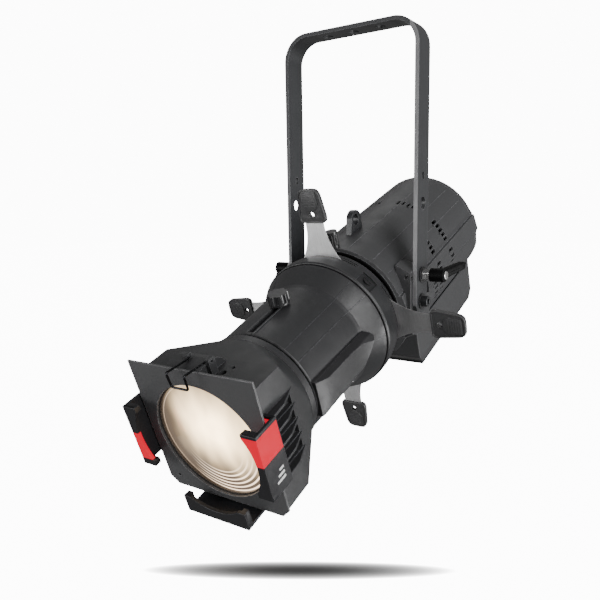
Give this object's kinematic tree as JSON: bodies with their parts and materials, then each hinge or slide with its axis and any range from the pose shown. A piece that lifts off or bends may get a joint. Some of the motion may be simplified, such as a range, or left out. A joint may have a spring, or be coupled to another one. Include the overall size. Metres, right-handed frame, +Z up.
{
  "type": "ellipsoidal spotlight",
  "caption": "Ellipsoidal LED spotlight: round housing with an electronics box, turning barrel, framing shutters and square lens tube, hung in a flat-bar yoke with tilt locks.",
  "frame": {"origin": "centre of the middle hanging hole at the top face of the yoke's crossbar", "axes": "+Z up along the middle hanging hole, +X towards the right leg along the tilt axis, -Y the way the beam leaves; at rest the beam points 20 degrees below -Y"},
  "size_m": [0.406, 0.7376, 0.6373],
  "materials": {
    "yoke_paint": "fine-texture black powder coat",
    "dark_bolts": "black oxide",
    "dark_washers": "black zinc",
    "zinc_steel": "bright zinc",
    "lever_plastic": "satin black moulding",
    "housing_paint": "fine-texture dark grey powder coat",
    "base_paint": "black powder coat",
    "grille_wire": "black",
    "fan_plastic": "moulded",
    "heat_sink_aluminium": "extruded",
    "led_board": "white board with a yellow emitter",
    "condenser_glass": "polished",
    "hub_paint": "black powder coat",
    "bush_brass": "turned",
    "eye_paint": "black powder coat",
    "bearing_aluminium": "turned",
    "circuit_board": "green solder mask",
    "panel_plastic": "moulded",
    "display": "dark window",
    "button_plastic": "moulded",
    "socket_plastic": "moulded",
    "power_plastic": "moulded, blue grey",
    "foot_rubber": "moulded",
    "knob_plastic": "satin black moulding",
    "gate_paint": "fine-texture dark grey powder coat",
    "gate_steel": "rolled",
    "cover_paint": "fine-texture dark grey powder coat",
    "barrel_paint": "fine-texture dark grey powder coat",
    "pod_paint": "fine-texture dark grey powder coat",
    "blade_steel": "stainless sheet, dulled by heat",
    "handle_plastic": "heat-proof moulding",
    "tube_paint": "fine-texture black powder coat",
    "plate_paint": "fine-texture black powder coat",
    "bracket_paint": "fine-texture black powder coat",
    "front_glass": "polished, coated",
    "rear_glass": "polished",
    "ring_plastic": "moulded",
    "clip_steel": "black spring wire"
  },
  "bodies": {
    "base": {"yoke": "yoke_paint", "pivot_bolts": "dark_bolts", "yoke_washers": "dark_washers", "clamp_nuts": "zinc_steel"},
    "right_lock": {"right_lever_stud": "zinc_steel", "right_lever": "lever_plastic"},
    "left_lock": {"left_lever_stud": "zinc_steel", "left_lever": "lever_plastic"},
    "housing": {"upper_shell": "housing_paint", "lower_shell": "housing_paint", "electronics_box": "housing_paint", "base_plate": "base_paint", "rear_cover": "housing_paint", "fan_grille": "grille_wire", "fan_frame": "fan_plastic", "heat_sink": "heat_sink_aluminium", "led_board": "led_board", "condenser_lens": "condenser_glass", "side_hubs": "hub_paint", "tilt_bushes": "bush_brass", "safety_eye": "eye_paint", "rotation_bearing": "bearing_aluminium", "driver_board": "circuit_board", "control_panel": "panel_plastic", "display_window": "display", "data_sockets": "socket_plastic", "power_sockets": "power_plastic", "fuse_holder": "socket_plastic", "housing_screws": "zinc_steel", "box_feet": "foot_rubber"},
    "fan": {"fan_rotor": "fan_plastic"},
    "menu_key": {"menu_button": "button_plastic"},
    "up_key": {"up_button": "button_plastic"},
    "down_key": {"down_button": "button_plastic"},
    "enter_key": {"enter_button": "button_plastic"},
    "turn_lock": {"rotation_knob": "knob_plastic"},
    "barrel": {"gate_ring": "gate_paint", "gate_plate": "gate_steel", "gobo_cover": "cover_paint", "barrel_upper": "barrel_paint", "barrel_lower": "barrel_paint", "side_pods": "pod_paint", "barrel_screws": "zinc_steel"},
    "slot_screw": {"cover_screw": "knob_plastic"},
    "top_shutter": {"top_blade": "blade_steel", "top_handle": "handle_plastic"},
    "right_shutter": {"right_blade": "blade_steel", "right_handle": "handle_plastic"},
    "bottom_shutter": {"bottom_blade": "blade_steel", "bottom_handle": "handle_plastic"},
    "left_shutter": {"left_blade": "blade_steel", "left_handle": "handle_plastic"},
    "focus_lock": {"focus_knob": "knob_plastic"},
    "clip": {"wire_clip": "clip_steel"},
    "focus_tube": {"lens_tube": "tube_paint", "front_plate": "plate_paint", "accessory_brackets": "bracket_paint", "front_lens": "front_glass", "rear_lens": "rear_glass", "lens_rings": "ring_plastic"}
  },
  "joints": [
    {"name": "tilt", "type": "hinge", "parent": "base", "child": "housing", "pos_m": [0, 0, -0.408], "axis": [1, 0, 0], "range_deg": [-25, 70]},
    {"name": "right_lever_turn", "type": "hinge", "parent": "base", "child": "right_lock", "pos_m": [0.13, 0, -0.368], "axis": [1, 0, 0], "range_deg": [-60, 60]},
    {"name": "left_lever_turn", "type": "hinge", "parent": "base", "child": "left_lock", "pos_m": [-0.13, 0, -0.368], "axis": [1, 0, 0], "range_deg": [-40, 60]},
    {"name": "fan_spin", "type": "hinge", "parent": "housing", "child": "fan", "pos_m": [0, 0.25901, -0.30096], "axis": [0, -0.9397, -0.342], "continuous": true},
    {"name": "menu_press", "type": "slide", "parent": "housing", "child": "menu_key", "axis": [0, -0.9397, -0.342], "range_m": [0, 0.001], "stiffness_N_per_m": 400},
    {"name": "up_press", "type": "slide", "parent": "housing", "child": "up_key", "axis": [0, -0.9397, -0.342], "range_m": [0, 0.001], "stiffness_N_per_m": 400},
    {"name": "down_press", "type": "slide", "parent": "housing", "child": "down_key", "axis": [0, -0.9397, -0.342], "range_m": [0, 0.001], "stiffness_N_per_m": 400},
    {"name": "enter_press", "type": "slide", "parent": "housing", "child": "enter_key", "axis": [0, -0.9397, -0.342], "range_m": [0, 0.001], "stiffness_N_per_m": 400},
    {"name": "rotation_knob_turn", "type": "hinge", "parent": "housing", "child": "turn_lock", "pos_m": [0, -0.07034, -0.31122], "axis": [0, -0.342, 0.9397], "range_deg": [-180, 180]},
    {"name": "barrel_turn", "type": "hinge", "parent": "housing", "child": "barrel", "pos_m": [0, -0.04323, -0.42373], "axis": [0, -0.9397, -0.342], "range_deg": [-25, 25]},
    {"name": "cover_screw_turn", "type": "hinge", "parent": "barrel", "child": "slot_screw", "pos_m": [0.07314, -0.09756, -0.37093], "axis": [0.7314, -0.2333, 0.6409], "range_deg": [-180, 180]},
    {"name": "top_shutter_slide", "type": "slide", "parent": "barrel", "child": "top_shutter", "axis": [0, -0.342, 0.9397], "range_m": [-0.045, 0.007]},
    {"name": "right_shutter_slide", "type": "slide", "parent": "barrel", "child": "right_shutter", "axis": [1, 0, 0], "range_m": [-0.045, 0.007]},
    {"name": "bottom_shutter_slide", "type": "slide", "parent": "barrel", "child": "bottom_shutter", "axis": [0, 0.342, -0.9397], "range_m": [-0.052, 0]},
    {"name": "left_shutter_slide", "type": "slide", "parent": "barrel", "child": "left_shutter", "axis": [-1, 0, 0], "range_m": [-0.045, 0.007]},
    {"name": "focus_slide", "type": "slide", "parent": "barrel", "child": "focus_tube", "axis": [0, -0.9397, -0.342], "range_m": [0, 0.06]},
    {"name": "focus_knob_turn", "type": "hinge", "parent": "focus_tube", "child": "focus_lock", "pos_m": [0, -0.20744, -0.38773], "axis": [0, -0.342, 0.9397], "range_deg": [-180, 180]},
    {"name": "clip_swing", "type": "hinge", "parent": "focus_tube", "child": "clip", "pos_m": [0, -0.36344, -0.4328], "axis": [1, 0, 0], "range_deg": [-80, 0]}
  ]
}
